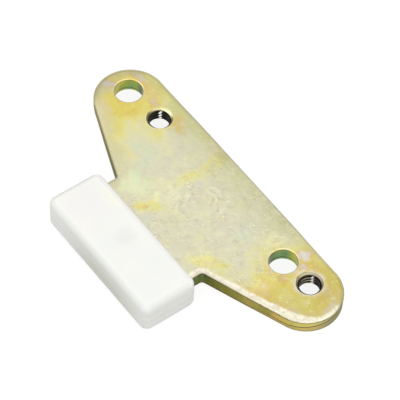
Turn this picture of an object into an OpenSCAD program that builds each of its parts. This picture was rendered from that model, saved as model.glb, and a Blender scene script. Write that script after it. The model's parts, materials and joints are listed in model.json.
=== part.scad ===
// Elevator door guide shoe: a blanked and plated steel plate whose tongue
// carries a moulded nylon block. The plate bolts to the foot of the door and
// the block slides in the sill groove.
//
// Frame: the origin is on the plate's underside, midway between the centres
// of its two rounded ends. +X runs along the straight back edge, +Y points
// from the block towards that edge, and +Z points out of the upper face.

/* [Mounting plate] */
// Thickness of the steel plate
plate_t = 4; // [2:0.5:6]
// Distance between the centres of the two rounded ends
end_spacing = 70; // [60:1:90]
// Radius of each rounded end
end_r = 8.9; // [7.5:0.1:12]
// Angle of the front edges, which fall from the rounded ends to the tongue
front_angle = 21; // [10:1:30]
// Width of the tongue that carries the block
tongue_w = 34; // [26:1:42]
// Length of bare tongue between the front edges and the block
neck_l = 3.4; // [2:0.1:8]
// Radius of the inner corner where a front edge meets the tongue
notch_r = 1; // [0.8:0.1:2]

/* [Rolled edge] */
// Width of the band that the press rolls over along the upper edge
roll_w = 1.2; // [0.8:0.1:1.6]
// Depth of that band at the side wall
roll_h = 0.5; // [0.2:0.05:0.6]
// Width of the rolled band round a plain bolt hole
hole_roll_w = 0.35; // [0.3:0.05:0.6]
// Depth of the rolled band in a plain bolt hole
hole_roll_h = 0.2; // [0.1:0.05:0.25]

/* [Bolt holes] */
// Diameter of the two plain holes
bolt_hole_d = 7; // [5:0.1:8]
// How far the -X plain hole lies beyond the centre of its rounded end
left_bolt_out = 1.8; // [0:0.1:2.2]
// How far the +X plain hole lies inside the centre of its rounded end
right_bolt_in = 9.6; // [9:0.1:12]
// How far the plain holes lie behind the line of the end centres
bolt_hole_back = 0.8; // [-1:0.1:2]

/* [Tapped holes] */
// Core diameter of the two tapped holes, at the crests of the thread
tapped_core_d = 5; // [4.2:0.1:5.6]
// Diameter of the countersink at each mouth of a tapped hole
countersink_d = 6.4; // [6.2:0.1:7]
// How far the -X tapped hole lies inside the centre of its rounded end
left_tapped_in = 9.4; // [9:0.1:14]
// How far the +X tapped hole lies inside the centre of its rounded end
right_tapped_in = 1; // [-1:0.1:1.5]
// How far the tapped holes lie behind the line of the end centres
tapped_back = 1.9; // [-1:0.1:2]

/* [Shoe block] */
// Depth of the block, from its back face to its front face
block_w = 15.1; // [13:0.1:24]
// Thickness of nylon over each face of the tongue
face_wall = 2.5; // [1.5:0.1:5]
// Thickness of nylon past each side of the tongue
end_wall = 3; // [2:0.1:8]
// Thickness of nylon in front of the tongue
front_wall = 2.9; // [2:0.1:4]
// Radius of the block's long and short edges, above and below
edge_r = 1.8; // [1:0.1:2.1]
// Radius of the block's four corners, seen from above
corner_r = 2.2; // [1.9:0.1:6]

/* [Anchor hole] */
// Diameter of the hole in the tongue that the nylon flows through
anchor_d = 5; // [3:0.5:7]

/* [Hidden] */
$fn = 96;

// How far a cutting tool runs past the face that it opens
overrun = 0.5;
// How much flatter a roll is than an arc tangent to the upper face
roll_flatness = 1.12;

// How far a straight edge lies inside the arcs that it runs into, so that edge
// and arc cross at a clear angle instead of only touching
tuck = 0.002;

end_x = end_spacing / 2;
tongue_x = tongue_w / 2;
// Distance of the back and front edges from the centre of the rounded end
straight_reach = end_r - tuck;
// Distance of the two edges at a notch from the centre of its radius
notch_reach = notch_r - tuck;

// Where a front edge starts, at the rounded end
front_x = end_x + straight_reach * sin(front_angle);
front_y = -straight_reach * cos(front_angle);

// Sharp inner corner that the notch radius rounds off
notch_y = front_y - (front_x - tongue_x) * tan(front_angle);
// Centre of the notch radius, and the points of the two edges nearest to it
notch_centre = [
    tongue_x + notch_reach,
    notch_y - notch_reach * (1 - sin(front_angle)) / cos(front_angle)
];
notch_on_front = notch_centre + notch_reach * [-sin(front_angle), cos(front_angle)];
notch_on_tongue = [tongue_x, notch_centre[1]];

block_l = tongue_w + 2 * end_wall;
block_t = plate_t + 2 * face_wall;
block_back_y = notch_y - neck_l;
block_front_y = block_back_y - block_w;
tongue_end_y = block_front_y + front_wall;
// The anchor hole is in the middle of the part of the tongue that is covered
anchor_y = (block_back_y + tongue_end_y) / 2;

// Depth of a countersink, whose sides open at 45 degrees
countersink_h = (countersink_d - tapped_core_d) / 2;

// Where the holes of each pair lie
bolt_holes = [[-end_x - left_bolt_out, bolt_hole_back], [end_x - right_bolt_in, bolt_hole_back]];
tapped_holes = [[left_tapped_in - end_x, tapped_back], [end_x - right_tapped_in, tapped_back]];

// Length of the front edge between its two arcs
front_l = norm([front_x, front_y] - notch_on_front);

// Repeats what it is given on the other side of the middle plane
module both_sides() {
    children();
    mirror([1, 0, 0]) children();
}

// Places what it is given at each of the places
module at_each(places) {
    for (place = places)
        translate([place[0], place[1], 0]) children();
}

// Section of the metal that a roll of the given width and depth takes away.
// The edge is at x = 0, the metal lies at x < 0, and the upper face is at
// y = 0. The arc crosses the upper face at x = -w and the side wall at y = -h.
module roll_section(w, h) {
    chord = norm([w, h]);
    arc_r = roll_flatness * pow(chord, 2) / (2 * h);
    rise = sqrt(pow(arc_r, 2) - pow(chord / 2, 2)) / chord;
    centre = [-w / 2 - h * rise, -h / 2 - w * rise];
    translate(centre) difference() {
        square([overrun - centre[0], overrun - centre[1]]);
        circle(r = arc_r);
    }
}

// Roll along a straight edge whose outward side faces the given angle
module straight_roll(start, facing, length) {
    translate([start[0], start[1], plate_t])
        rotate([90, 0, facing])
            linear_extrude(length) roll_section(roll_w, roll_h);
}

// Round punch with the roll that it leaves round its hole
module rolled_hole(r, w, h) {
    translate([0, 0, -overrun]) cylinder(r = r, h = plate_t + 2 * overrun);
    translate([0, 0, plate_t])
        rotate_extrude() translate([r, 0]) mirror([1, 0]) roll_section(w, h);
}

// Rounded end of the plate, a disc with a rolled rim
module end_disc() {
    rotate_extrude() difference() {
        square([end_r, plate_t]);
        translate([end_r, plate_t]) roll_section(roll_w, roll_h);
    }
}

// The plate from the middle plane to the +X end, without its holes. The
// notch at the tongue is part of a punched round, so its rim rolls likewise.
module half_blank() {
    translate([end_x, 0, 0]) end_disc();
    difference() {
        linear_extrude(plate_t) polygon([
            [0, straight_reach],
            [end_x, straight_reach],
            [end_x, 0],
            [front_x, front_y],
            notch_on_front,
            notch_centre,
            notch_on_tongue,
            [tongue_x, tongue_end_y],
            [0, tongue_end_y]
        ]);
        translate([notch_centre[0], notch_centre[1], 0]) rolled_hole(notch_r, roll_w, roll_h);
        straight_roll([-overrun, straight_reach], 90, end_x + overrun);
        straight_roll([front_x, front_y], front_angle - 90, front_l);
        straight_roll(notch_on_tongue, 0, notch_on_tongue[1] - tongue_end_y + overrun);
        straight_roll([tongue_x + overrun, tongue_end_y], -90, tongue_x + 2 * overrun);
    }
}

// One mouth of a tapped hole, opening at 45 degrees towards +Z from z = 0
module countersink_mouth() {
    translate([0, 0, -countersink_h])
        cylinder(d1 = tapped_core_d, d2 = countersink_d + 2 * overrun, h = countersink_h + overrun);
}

module tapped_hole() {
    translate([0, 0, -overrun]) cylinder(d = tapped_core_d, h = plate_t + 2 * overrun);
    translate([0, 0, plate_t]) countersink_mouth();
    mirror([0, 0, 1]) countersink_mouth();
}

// The blanked plate without its colour, which the block is moulded round
module plate_solid() {
    difference() {
        both_sides() half_blank();
        at_each(bolt_holes) rolled_hole(bolt_hole_d / 2, hole_roll_w, hole_roll_h);
        at_each(tapped_holes) tapped_hole();
        translate([0, anchor_y, -overrun]) cylinder(d = anchor_d, h = plate_t + 2 * overrun);
    }
}

// Quarter of a disc in the positive quadrant
module quarter_disc(r) {
    intersection() {
        circle(r = r);
        square(2 * r);
    }
}

// Section through the block's rim: flat inside, rounded above and below at
// the outside. It is corner_r wide and as high as the block.
module rim_section() {
    flat_w = corner_r - edge_r;
    square([flat_w, block_t]);
    translate([flat_w, edge_r]) square([edge_r, block_t - 2 * edge_r]);
    translate([flat_w, block_t - edge_r]) quarter_disc(edge_r);
    translate([flat_w, edge_r]) mirror([0, 1]) quarter_disc(edge_r);
}

// The block as a bar with every edge rounded, centred in plan, on z = 0
module rounded_bar() {
    straight_x = block_l / 2 - corner_r;
    straight_y = block_w / 2 - corner_r;
    translate([-straight_x, -straight_y, 0]) cube([2 * straight_x, 2 * straight_y, block_t]);
    for (turn = [0, 180]) rotate(turn) {
        translate([straight_x, straight_y, 0]) rotate([90, 0, 0])
            linear_extrude(2 * straight_y) rim_section();
        translate([-straight_x, straight_y, 0]) rotate([90, 0, 90])
            linear_extrude(2 * straight_x) rim_section();
        translate([straight_x, straight_y, 0]) rotate_extrude(start = 0, angle = 90) rim_section();
        translate([-straight_x, straight_y, 0]) rotate_extrude(start = 90, angle = 90) rim_section();
    }
}

module mounting_plate() {
    color([0.84, 0.80, 0.60]) plate_solid();
}

// Moulded round the tongue, so its pocket and the plug that fills the anchor
// hole have the plate's own faces
module shoe_block() {
    color([0.94, 0.94, 0.91]) difference() {
        translate([0, (block_back_y + block_front_y) / 2, -face_wall]) rounded_bar();
        plate_solid();
    }
}

mounting_plate();
shoe_block();
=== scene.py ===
# %% [markdown]
# # A guide shoe for an elevator door, made in Blender
# The shoe hangs under a sliding door and runs in the groove of the sill. It is
# two pieces: a stamped steel plate with a yellow passivated zinc finish, and a
# white nylon block that is moulded round the plate's tongue.
#
# This file is a lesson. It takes the measured model as a frame, builds each
# piece over again with the rolled, sheared, tapped and moulded surfaces of the
# real one, and then paints, lights and frames it.

# %% Load the measured model
import json
import math
import random
from collections import namedtuple

import bmesh
import bpy
from mathutils import Matrix, Vector, geometry, kdtree, noise


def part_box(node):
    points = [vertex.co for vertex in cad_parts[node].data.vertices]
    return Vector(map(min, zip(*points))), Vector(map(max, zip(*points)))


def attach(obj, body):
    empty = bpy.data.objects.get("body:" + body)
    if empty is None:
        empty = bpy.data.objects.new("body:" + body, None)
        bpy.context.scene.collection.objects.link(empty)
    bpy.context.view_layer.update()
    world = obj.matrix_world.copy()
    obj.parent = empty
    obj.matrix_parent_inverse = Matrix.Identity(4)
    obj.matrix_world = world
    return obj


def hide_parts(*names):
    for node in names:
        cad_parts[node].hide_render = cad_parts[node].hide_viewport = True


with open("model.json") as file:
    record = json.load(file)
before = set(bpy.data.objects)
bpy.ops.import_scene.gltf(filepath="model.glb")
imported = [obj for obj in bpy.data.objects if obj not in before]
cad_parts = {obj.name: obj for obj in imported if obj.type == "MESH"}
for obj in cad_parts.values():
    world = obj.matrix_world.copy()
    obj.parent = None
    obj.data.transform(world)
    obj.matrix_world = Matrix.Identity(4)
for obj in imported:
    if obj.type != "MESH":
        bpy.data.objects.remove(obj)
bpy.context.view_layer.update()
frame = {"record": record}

# %% [markdown]
# ## Work in millimetres
# Blender's unit is the metre, but a stamped part is easier to think about in
# millimetres. So the meshes are built in millimetres and shrunk by `MM` as the
# last step, and sizes that the frame already knows are read from it instead of
# being typed again.

# %% Read the sizes from the frame
MM = 0.001
MERGED, NEAR = 1e-5, 1e-4  # distances that count as none, in millimetres


def in_mm(vector):
    return Vector(vector) / MM


plate_low, plate_high = (in_mm(corner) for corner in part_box("mounting_plate"))
block_low, block_high = (in_mm(corner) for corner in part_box("shoe_block"))
mounts = {mount["name"]: mount for mount in frame["record"]["mounts"]}

plate_t = plate_high.z
end_r = plate_high.y
end_x = plate_high.x - end_r
tongue_end_y = plate_low.y
print(f"plate {plate_t:.1f} thick, ends of radius {end_r:.1f} at x = +-{end_x:.1f}")

# %% [markdown]
# ## The outline of the blank
# A press cuts the plate out of strip in one stroke, so its outline is only
# straight edges and arcs. The outline is a list of stations. Each station has
# its place and the direction that points out of the metal, because everything
# that the press does to the edge is measured inwards from there. At a sharp
# corner that direction is stretched, so that an inset outline keeps its corner.

# %% Stations along arcs and straight edges
Station = namedtuple("Station", "at out")


def arc_stations(centre, radius, start_deg, end_deg, step, hollow=False):
    """Stations on an arc. On a hollow arc the metal lies outside the circle."""
    sweep = math.radians(end_deg - start_deg)
    count = max(2, round(abs(sweep) * radius / step))
    stations = []
    for i in range(count + 1):
        angle = math.radians(start_deg) + sweep * i / count
        spoke = Vector((math.cos(angle), math.sin(angle)))
        stations.append(Station(Vector(centre) + spoke * radius, -spoke if hollow else spoke))
    return stations


def edge_stations(start, end, step, clear=0.0):
    """Stations between two points, leaving both ends to the arcs beside them.
    Where an end is a sharp corner, they stay clear of it, so that an inset
    outline doesn't cross itself there."""
    start, end = Vector(start), Vector(end)
    length = (end - start).length
    along = (end - start) / length
    count = max(2, round(length / step))
    out = Vector((along.y, -along.x))
    places = [start.lerp(end, i / count) for i in range(1, count)]
    return [Station(p, out) for p in places if min((p - start).length, (p - end).length) > clear]


def corner_station(at, out_before, out_after):
    before, after = Vector(out_before), Vector(out_after)
    return Station(Vector(at), (before + after) / (1 + before.dot(after)))


quarter_circle = arc_stations((0, 0), 10, 0, 90, 1)
print(f"a quarter circle of radius 10, in steps of 1: {len(quarter_circle)} stations")

# %% [markdown]
# The front edges fall from the round ends to the tongue, and a small radius
# joins them to it. Going round against the clock, each right-hand stretch has
# its mirror image on the left, so only the right half is worked out.

# %% The plate's outline
FRONT_ANGLE = 21.0
TONGUE_W = 34.0
NOTCH_R = 1.0
ARC_STEP = 0.35
EDGE_STEP = 0.7
CORNER_CLEAR = 1.6

slope = math.radians(FRONT_ANGLE)
tongue_x = TONGUE_W / 2
front_corner = Vector((end_x + end_r * math.sin(slope), -end_r * math.cos(slope)))
notch_y = front_corner.y - (front_corner.x - tongue_x) * math.tan(slope)
notch_drop = NOTCH_R * (1 - math.sin(slope)) / math.cos(slope)
notch_centre = Vector((tongue_x + NOTCH_R, notch_y - notch_drop))
notch_on_front = notch_centre + NOTCH_R * Vector((-math.sin(slope), math.cos(slope)))


def right_half():
    """The outline from the tongue's end, up the right side, to the back edge."""
    corner = (tongue_x, tongue_end_y)
    side_top = (tongue_x, notch_centre.y)
    return [
        corner_station(corner, (0, -1), (1, 0)),
        *edge_stations(corner, side_top, EDGE_STEP, CORNER_CLEAR),
        *arc_stations(notch_centre, NOTCH_R, 180, 90 + FRONT_ANGLE, ARC_STEP / 2, hollow=True),
        *edge_stations(notch_on_front, front_corner, EDGE_STEP),
        *arc_stations((end_x, 0), end_r, FRONT_ANGLE - 90, 90, ARC_STEP),
    ]


def mirrored(stations):
    """The same stations on the other side, still going round against the clock."""
    flip = Vector((-1, 1))
    return [Station(s.at * flip, s.out * flip) for s in reversed(stations)]


half = right_half()
back_edge = edge_stations((end_x, end_r), (-end_x, end_r), EDGE_STEP)
tongue_corners = ((-tongue_x, tongue_end_y), (tongue_x, tongue_end_y))
tongue_end = edge_stations(*tongue_corners, EDGE_STEP, CORNER_CLEAR)
plate_outline = half + back_edge + mirrored(half) + tongue_end
print(f"plate outline: {len(plate_outline)} stations, notch at y = {notch_y:.2f}")

# %% [markdown]
# ## What the press leaves on the edge
# A punched edge is never a plain cut. From the upper face down it has a roll,
# where the metal was drawn over before it gave way, then a smooth burnished
# band, and then a rougher band where it tore off. A fine dark line parts the
# two. The section is a list of points, each with its inset from the outline
# and its height. Lofting that section round the outline models all of it, and
# the light then finds the roll by itself, as it does in the photograph.

# %% The section of a punched edge
ROLL_FLATNESS = 1.12
Profile = namedtuple("Profile", "inset height")


def roll_profile(width, depth, count):
    """Points from the flat face, over the roll, to the top of the wall."""
    chord = math.hypot(width, depth)
    radius = ROLL_FLATNESS * chord**2 / (2 * depth)
    rise = math.sqrt(radius**2 - (chord / 2) ** 2) / chord
    centre = Vector((-width / 2 - depth * rise, -depth / 2 - width * rise))
    first = math.atan2(-centre.y, -width - centre.x)
    last = math.atan2(-depth - centre.y, -centre.x)
    points = []
    for i in range(count + 1):
        angle = first + (last - first) * i / count
        x = centre.x + radius * math.cos(angle)
        y = centre.y + radius * math.sin(angle)
        points.append(Profile(max(0.0, -x), plate_t + min(0.0, y)))
    return points


ROLL_W, ROLL_H = 1.2, 0.5
HOLE_ROLL_W, HOLE_ROLL_H = 0.35, 0.2
edge_roll = roll_profile(ROLL_W, ROLL_H, 10)
hole_roll = roll_profile(HOLE_ROLL_W, HOLE_ROLL_H, 6)
print(f"edge roll from height {edge_roll[0].height:.2f} to {edge_roll[-1].height:.2f} mm")

# %% [markdown]
# Real edges also wander a little. The roll is deeper and the tear starts higher
# round the ends than in the notches, and highest of all round the right end.
# The roll carries small dents a few hundredths of a millimetre deep. Each point
# moves into the metal or along the wall, so the plate never grows.

# %% Small unevenness along an edge
LEAST_ROLL = 0.5  # share of the roll's depth that is left in the notches
# height where the tear starts, and what is added at the ends, at the right end
# and at random
TEAR_LOW, TEAR_AT_ENDS, TEAR_CLIMB, TEAR_WANDER = 0.55, 0.85, 1.1, 0.35
SEAM_GROOVE = 0.07
TORN_STEP = 0.02  # how far the torn wall lies behind the burnished one
TEAR_TAPER, LEAST_TAPER = 0.12, 0.3
LOWER_EDGE = 0.07
DENT_DEPTH, DENT_LEVEL = 0.035, 0.55


def smooth(value, size, seed):
    """Smooth noise between 0 and 1 at a place, with features of the given size."""
    place = Vector((value[0], value[1], 0.0)) / size
    return 0.5 + 0.5 * noise.noise(place + Vector((0, 0, seed)))


def fade(value, low, high):
    t = min(1.0, max(0.0, (value - low) / (high - low)))
    return t * t * (3 - 2 * t)


def end_share(at):
    """0 along the tongue and the slopes, 1 round the ends."""
    return fade(abs(at.x), end_x - 8, end_x + 1)


def roll_depth(at):
    """Metal is drawn over least in the notches and most round the ends."""
    return ROLL_H * (LEAST_ROLL + (1 - LEAST_ROLL) * fade(abs(at.x), tongue_x, end_x - 4))


def tear_height(at):
    """Where the burnished band ends: higher round the ends, and highest at the right one."""
    climb = fade(at.y, -11.0, 2.0) * fade(at.x, end_x + 2, end_x + 6)
    wander = smooth(at, 6.0, 3.1) - 0.5
    return TEAR_LOW + TEAR_AT_ENDS * end_share(at) + TEAR_CLIMB * climb + TEAR_WANDER * wander


def dent(at):
    """How deep the roll is dented."""
    return DENT_DEPTH * max(0.0, smooth(at, 1.3, 7.7) - DENT_LEVEL) / (1 - DENT_LEVEL)


def wall_profile(at):
    """Points down the wall below the roll, for one station."""
    tear = tear_height(at)
    taper = TEAR_TAPER * (LEAST_TAPER + (1 - LEAST_TAPER) * end_share(at))
    return [
        Profile(0.0, (plate_t - roll_depth(at) + tear) / 2),
        Profile(0.0, tear + SEAM_GROOVE),
        Profile(SEAM_GROOVE, tear),
        Profile(TORN_STEP, tear - SEAM_GROOVE),
        Profile(TORN_STEP + taper * 0.5, tear * 0.45),
        Profile(taper, LOWER_EDGE),
        Profile(taper + LOWER_EDGE, 0.0),
    ]


tears = [tear_height(station.at) for station in plate_outline]
print(f"the tear starts between {min(tears):.2f} and {max(tears):.2f} mm above the foot")

# %% [markdown]
# ## Lofting rings
# `add_ring` puts one closed loop of vertices round an outline, and `bridge`
# joins two loops with quads. With the metal always on the left, the same two
# functions make outer walls and holes, because a hole is only an outline that
# goes round with the clock.

# %% Rings and the quads between them
def add_ring(bm, stations, profiles):
    """A closed loop of vertices with its own inset and height at each station."""
    ring = []
    for station, profile in zip(stations, profiles):
        at = station.at - station.out * profile.inset
        ring.append(bm.verts.new((at.x, at.y, profile.height)))
    return ring


def even_ring(bm, stations, inset, height):
    return add_ring(bm, stations, [Profile(inset, height)] * len(stations))


def bridge(bm, upper, lower, material=0):
    count = len(upper)
    for i in range(count):
        j = (i + 1) % count
        face = bm.faces.new((upper[i], lower[i], lower[j], upper[j]))
        face.material_index = material


def loft(bm, rings, material=0):
    for upper, lower in zip(rings, rings[1:]):
        bridge(bm, upper, lower, material)


# %% [markdown]
# ## Filling a flat face that has holes
# Each flat face is bounded by the outline and five holes. A Delaunay
# triangulation joins all their loops, and a grid of loose inner points, moved
# a little at random, keeps its triangles even. Triangles that fall in a hole
# or outside the outline are dropped with the even and odd rule: a point is in
# the metal if a line from it crosses the loops an odd number of times.

# %% Fill between loops
JITTER, CLEAR = 0.2, 0.6  # in spacings


def in_metal(point, loops):
    """Whether a line from the point to +X crosses the loops an odd number of times."""
    x, y = point
    inside = False
    for loop in loops:
        for a, b in zip(loop, loop[1:] + loop[:1]):
            if (a[1] > y) != (b[1] > y):
                if x < a[0] + (y - a[1]) * (b[0] - a[0]) / (b[1] - a[1]):
                    inside = not inside
    return inside


def loose_points(loops, spacing, seed):
    """A jittered grid inside the loops, kept clear of their edges."""
    draw = random.Random(seed)
    rim = [p for loop in loops for p in loop]
    low_x, low_y = (min(p[axis] for p in rim) for axis in (0, 1))
    high_x, high_y = (max(p[axis] for p in rim) for axis in (0, 1))
    points = []
    for i in range(int((high_x - low_x) / spacing)):
        for j in range(int((high_y - low_y) / spacing)):
            x = low_x + spacing * (i + 0.5 + draw.uniform(-JITTER, JITTER))
            y = low_y + spacing * (j + 0.5 + draw.uniform(-JITTER, JITTER))
            near = min(math.dist((x, y), p) for p in rim)
            if near > CLEAR * spacing and in_metal((x, y), loops):
                points.append((x, y))
    return points


blank = [[tuple(station.at) for station in plate_outline]]
print("metal at the origin:", in_metal((0, 0), blank), "and beside the tongue:",
      in_metal((end_x, tongue_end_y), blank))


def fill_face(bm, rings, height, facing_up, spacing, material=0, seed=1):
    """Triangles between the rings. The height is a number or a function of a place."""
    loops = [[(v.co.x, v.co.y) for v in ring] for ring in rings]
    verts = [v for ring in rings for v in ring]
    edges = []
    for ring in rings:
        first = len(edges)
        edges += [(first + i, first + (i + 1) % len(ring)) for i in range(len(ring))]
    inner = loose_points(loops, spacing, seed)
    for x, y in inner:
        z = height(x, y) if callable(height) else height
        verts.append(bm.verts.new((x, y, z)))
    flat = [Vector((v.co.x, v.co.y)) for v in verts]
    filled = geometry.delaunay_2d_cdt(flat, edges, [], 0, MERGED)
    points, _, triangles, origins = filled[:4]
    made = 0
    for triangle in triangles:
        middle = sum((points[k] for k in triangle), Vector((0, 0))) / 3
        if not in_metal(middle, loops):
            continue
        corners = [verts[origins[k][0]] for k in triangle]
        face = bm.faces.new(corners)
        face.normal_update()
        if (face.normal.z > 0) != facing_up:
            face.normal_flip()
        face.material_index = material
        made += 1
    return made


# %% [markdown]
# ## Plain holes
# The two bolt holes were punched in the same stroke, so they have the same
# section as the outer edge, only smaller.

# %% Stations and rings of a plain hole
FACE, EDGE, BORE, THREAD = range(4)  # the plate's finishes
HOLE_TURNS = 96
HOLE_TEAR, HOLE_TAPER = 0.9, 0.08
SUPPORT = 0.15  # width of the flat strip that frames each roll


def hole_stations(centre, radius):
    """A hole's stations, going round with the clock so that the metal is outside."""
    step = math.tau * radius / HOLE_TURNS
    return arc_stations(centre, radius, 0, -360, step, hollow=True)[:-1]


def centre_and_radius(mount_name):
    mount = mounts[mount_name]
    x, y, _ = in_mm(mount["pos_m"])
    return (x, y), mount["dims"]["r_mm"]


def punched_hole(bm, mount_name):
    """The walls of a plain hole. Returns its rings in the upper and lower face."""
    centre, radius = centre_and_radius(mount_name)
    stations = hole_stations(centre, radius)
    wall = (
        (0.0, plate_t * 0.6),
        (0.0, HOLE_TEAR + SEAM_GROOVE),
        (SEAM_GROOVE, HOLE_TEAR),
        (TORN_STEP, HOLE_TEAR - SEAM_GROOVE),
        (HOLE_TAPER, LOWER_EDGE),
        (HOLE_TAPER + LOWER_EDGE, 0.0),
    )
    points = [(HOLE_ROLL_W + SUPPORT, plate_t), *hole_roll, *wall]
    rings = [even_ring(bm, stations, *point) for point in points]
    split = len(hole_roll) + 1
    loft(bm, rings[:split], FACE)
    loft(bm, rings[split - 1:], BORE)
    return rings[0], rings[-1]


BOLT_HOLES = ("left_bolt_hole", "right_bolt_hole")
for name in BOLT_HOLES:
    (x, y), radius = centre_and_radius(name)
    print(f"{name}: centre {x:.1f}, {y:.1f}, radius {radius:.1f}")

# %% [markdown]
# ## Tapped holes
# A tap cuts a helical groove, so its surface is one formula: the radius at a
# height and an angle. The rows of the mesh follow the helix, which keeps the
# crests crisp. Row k at angle a lies at the height k steps + one pitch for
# each turn, and a row that runs out of the plate is clamped to its face. The
# clamped vertices fall on each other and are merged, which closes the mouth.
# Where the countersink is wider than the thread, the countersink wins.

# %% The surface of a tapped hole
PITCH = 1.0
ROWS_PER_PITCH = 12
THREAD_DEPTH = 0.5
HALF_CREST, THREAD_FLANK = 0.125, 0.3125  # widths in pitches
COUNTERSINK_R = 3.2
ON_MOUTH = 0.03  # how near a face lies to the cone that it belongs to


def thread_cut(row):
    """How deep the groove is at this row: crest, flank, root, flank."""
    phase = (row % ROWS_PER_PITCH) / ROWS_PER_PITCH
    from_crest = 0.5 - abs(phase - 0.5)
    return THREAD_DEPTH * min(1.0, max(0.0, (from_crest - HALF_CREST) / THREAD_FLANK))


def mouth_radius(height):
    """The radius of the nearer countersink at a height."""
    return COUNTERSINK_R - min(height, plate_t - height)


def tapped_hole(bm, mount_name):
    """The threaded wall of a tapped hole. Returns its rings in both faces."""
    centre, core_r = centre_and_radius(mount_name)
    rows = range(-ROWS_PER_PITCH, int(plate_t / PITCH + 1) * ROWS_PER_PITCH + 1)
    grid = []
    for i in range(HOLE_TURNS + 1):
        angle = -2 * math.pi * i / HOLE_TURNS
        column = []
        for row in reversed(rows):
            height = PITCH * (row / ROWS_PER_PITCH + i / HOLE_TURNS)
            height = min(plate_t, max(0.0, height))
            radius = max(core_r + thread_cut(row), mouth_radius(height))
            if height in (0.0, plate_t):
                radius = COUNTERSINK_R
            x = centre[0] + radius * math.cos(angle)
            y = centre[1] + radius * math.sin(angle)
            column.append(bm.verts.new((x, y, height)))
        grid.append(column)
    for left, right in zip(grid, grid[1:]):
        for k in range(len(left) - 1):
            face = bm.faces.new((left[k], left[k + 1], right[k + 1], right[k]))
            middle = face.calc_center_median()
            mouth = mouth_radius(middle.z)
            on_mouth = abs((middle.xy - Vector(centre)).length - mouth) < ON_MOUTH
            face.material_index = FACE if on_mouth and mouth > core_r else THREAD
    made = [v for column in grid for v in column]
    bmesh.ops.remove_doubles(bm, verts=made, dist=MERGED)
    return [rim_ring(bm, centre, COUNTERSINK_R, height) for height in (plate_t, 0.0)]


def rim_ring(bm, centre, radius, height):
    """The vertices of a round rim, in the order that a hole's outline has."""
    found = [
        v for v in bm.verts
        if abs(v.co.z - height) < NEAR
        and abs((v.co.xy - Vector(centre)).length - radius) < NEAR
    ]
    return sorted(found, key=lambda v: -math.atan2(v.co.y - centre[1], v.co.x - centre[0]))


TAPPED_HOLES = ("left_tapped_hole", "right_tapped_hole")
print("cut over one pitch:", [round(thread_cut(row), 2) for row in range(ROWS_PER_PITCH + 1)])

# %% [markdown]
# ## Putting the plate together
# The outer wall, two punched holes, two tapped holes and the hole in the tongue
# are lofted into one mesh, and the two faces are filled between them. Inside
# the block the tongue has the same section, so the nylon really grips it.

# %% Build the plate
ANCHOR_R = 2.5
FACE_SPACING = 1.6

anchor = Vector((0.0, (block_high.y + tongue_end_y) / 2))


def outer_rings(bm):
    """The rings down the plate's outer wall, from one face to the other."""
    stations = plate_outline
    rings = [even_ring(bm, stations, ROLL_W + SUPPORT, plate_t)]
    for point in edge_roll:
        share = point.inset / ROLL_W
        dented = 4 * share * (1 - share)
        drop = (plate_t - point.height) / ROLL_H
        rings.append(add_ring(bm, stations, [
            Profile(point.inset, plate_t - drop * roll_depth(s.at) - dented * dent(s.at))
            for s in stations
        ]))
    walls = [wall_profile(s.at) for s in stations]
    return rings + [add_ring(bm, stations, row) for row in zip(*walls)]


def anchor_hole(bm):
    """The hole in the tongue that the nylon fills."""
    stations = hole_stations(anchor, ANCHOR_R)
    rings = [even_ring(bm, stations, 0.0, height) for height in (plate_t, 0.0)]
    bridge(bm, *rings, BORE)
    return rings


def build_plate():
    bm = bmesh.new()
    rings = outer_rings(bm)
    split = len(edge_roll) + 1
    loft(bm, rings[:split], FACE)
    loft(bm, rings[split - 1:], EDGE)
    rims = [(rings[0], rings[-1])]
    rims += [punched_hole(bm, name) for name in BOLT_HOLES]
    rims += [tapped_hole(bm, name) for name in TAPPED_HOLES]
    rims.append(anchor_hole(bm))
    upper, lower = zip(*rims)
    made = fill_face(bm, upper, plate_t, True, FACE_SPACING, FACE, seed=11)
    made += fill_face(bm, lower, 0.0, False, FACE_SPACING, FACE, seed=12)
    print(f"plate: {len(bm.faces)} faces, {made} of them in the two flat faces")
    return bm


# %% [markdown]
# ## From a bmesh to an object
# Faces are shaded smooth, but an edge where two faces meet at a clear angle is
# marked sharp, so that the roll looks soft and the crests of the thread don't.
# A closed mesh has no open edge, and its volume can be compared with the
# measured solid's.

# %% Turn a mesh into a piece
SHARP_ANGLE = math.radians(27)


def add_object(name, data):
    new = bpy.data.objects.new(name, data)
    bpy.context.scene.collection.objects.link(new)
    return new


def mark_sharp_edges(bm):
    for face in bm.faces:
        face.smooth = True
    for edge in bm.edges:
        edge.smooth = edge.calc_face_angle(0.0) < SHARP_ANGLE


def make_piece(bm, name, node, materials):
    """Shrinks the mesh to metres and makes it the piece that stands for a node."""
    open_edges = sum(1 for edge in bm.edges if not edge.is_manifold)
    print(f"{name}: {bm.calc_volume():.0f} mm3, {open_edges} open edges")
    mark_sharp_edges(bm)
    bmesh.ops.scale(bm, vec=(MM, MM, MM), verts=bm.verts)
    mesh = bpy.data.meshes.new(name)
    bm.to_mesh(mesh)
    bm.free()
    for material in materials:
        mesh.materials.append(material)
    piece = add_object(name, mesh)
    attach(piece, "root")
    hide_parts(node)
    return piece


# %% [markdown]
# ## Building finishes from nodes
# A finish is a small program made of nodes. Writing each node out takes five
# lines, so two helpers do it. A `Value` is one output of a node, which differs
# from place to place, and arithmetic on it adds the nodes for that arithmetic.
# A finish then reads like a formula.

# %% Values
def seen(red, green, blue):
    """The colour that looks like these screen values, as the shader wants it."""
    def linear(level):
        level /= 255
        return level / 12.92 if level <= 0.04045 else ((level + 0.055) / 1.055) ** 2.4
    return (linear(red), linear(green), linear(blue), 1.0)


print(f"a middle grey, 128 on the screen, is {seen(128, 128, 128)[0]:.3f} to the shader")


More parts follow.
